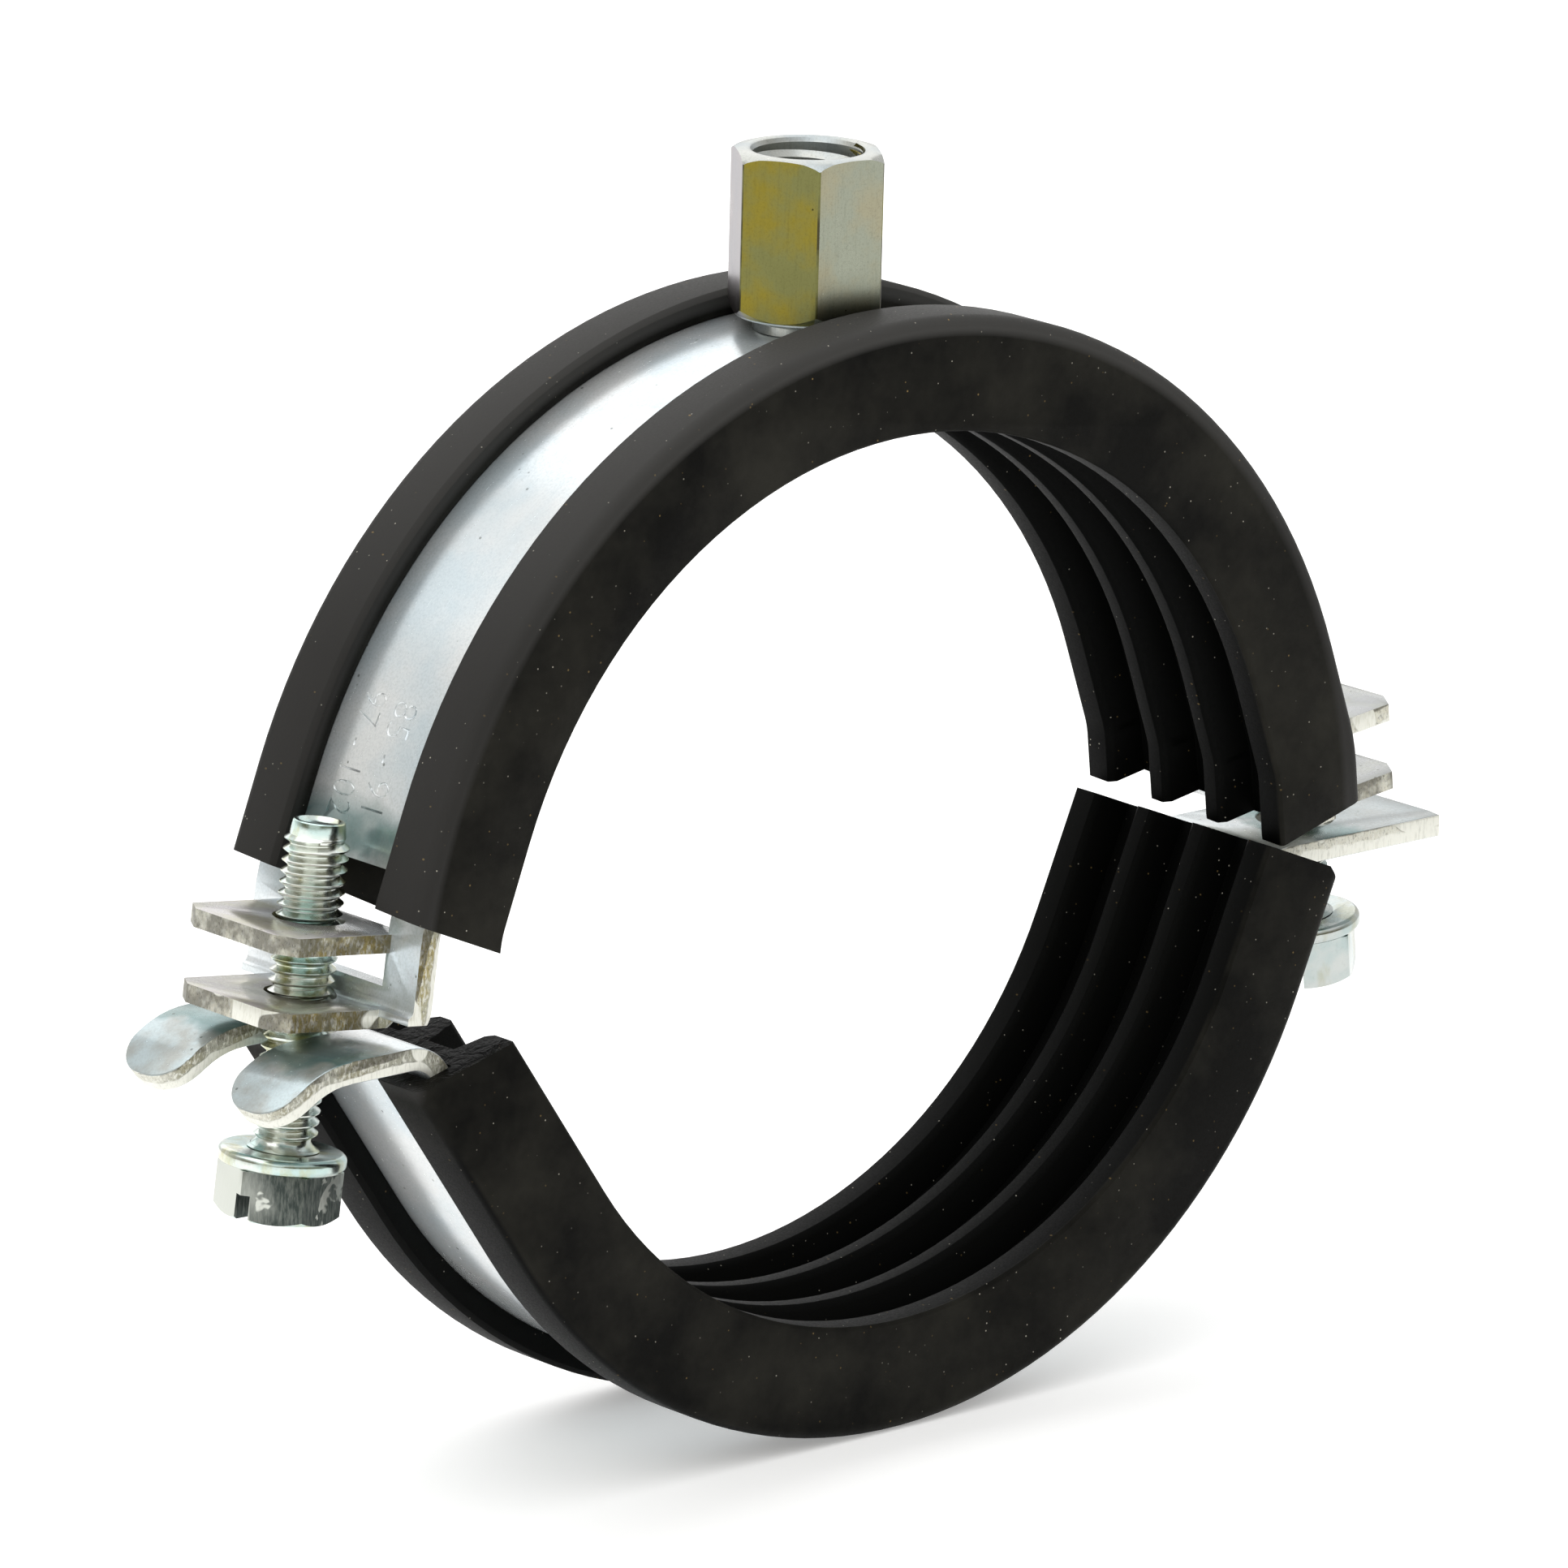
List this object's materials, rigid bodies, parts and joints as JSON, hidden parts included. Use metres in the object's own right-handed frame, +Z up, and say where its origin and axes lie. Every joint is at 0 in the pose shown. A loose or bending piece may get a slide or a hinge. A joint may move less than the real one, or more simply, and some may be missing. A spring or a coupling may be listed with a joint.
{
  "type": "rubber lined pipe clamp",
  "caption": "Hinged steel strap ring with ribbed rubber lining, lean side screws, an open fork for quick closing and a threaded connection nut on top.",
  "frame": {"origin": "centre of the upper half's seat circle, on the axis of the pipe", "axes": "+Y along the pipe, +Z up toward the connection nut, -X toward the open fork side"},
  "size_m": [0.1477, 0.027, 0.1194],
  "materials": {
    "strap_zinc": "zinc plated sheet, satin, sheared edges left rough",
    "nut_zinc": "zinc plated, smooth rolled flats",
    "lining_rubber": "matte extruded rubber with fine dust",
    "screw_zinc": "zinc plated, rolled thread"
  },
  "bodies": {
    "upper_half": {"upper_band": "strap_zinc", "connection_nut": "nut_zinc", "upper_lining": "lining_rubber"},
    "lower_half": {"lower_band": "strap_zinc", "lower_lining": "lining_rubber"},
    "closing_screw": {"closing_screw": "screw_zinc"},
    "side_screw": {"side_screw": "screw_zinc"}
  },
  "joints": [
    {"name": "lower_swing", "type": "hinge", "parent": "upper_half", "child": "lower_half", "pos_m": [0.0631, 0, -0.00215], "axis": [0, -1, 0], "range_deg": [0, 5.5]},
    {"name": "closing_screw_travel", "type": "slide", "parent": "upper_half", "child": "closing_screw", "axis": [-0.1219, 0, -0.9925], "range_m": [0, 0.0125]},
    {"name": "side_screw_travel", "type": "slide", "parent": "upper_half", "child": "side_screw", "axis": [0.1219, 0, -0.9925], "range_m": [-0.004, 0.008]}
  ],
  "couplings": [
    {"joint": "closing_screw_travel", "follows": "lower_swing", "m_per_rad": 0.1288}
  ]
}
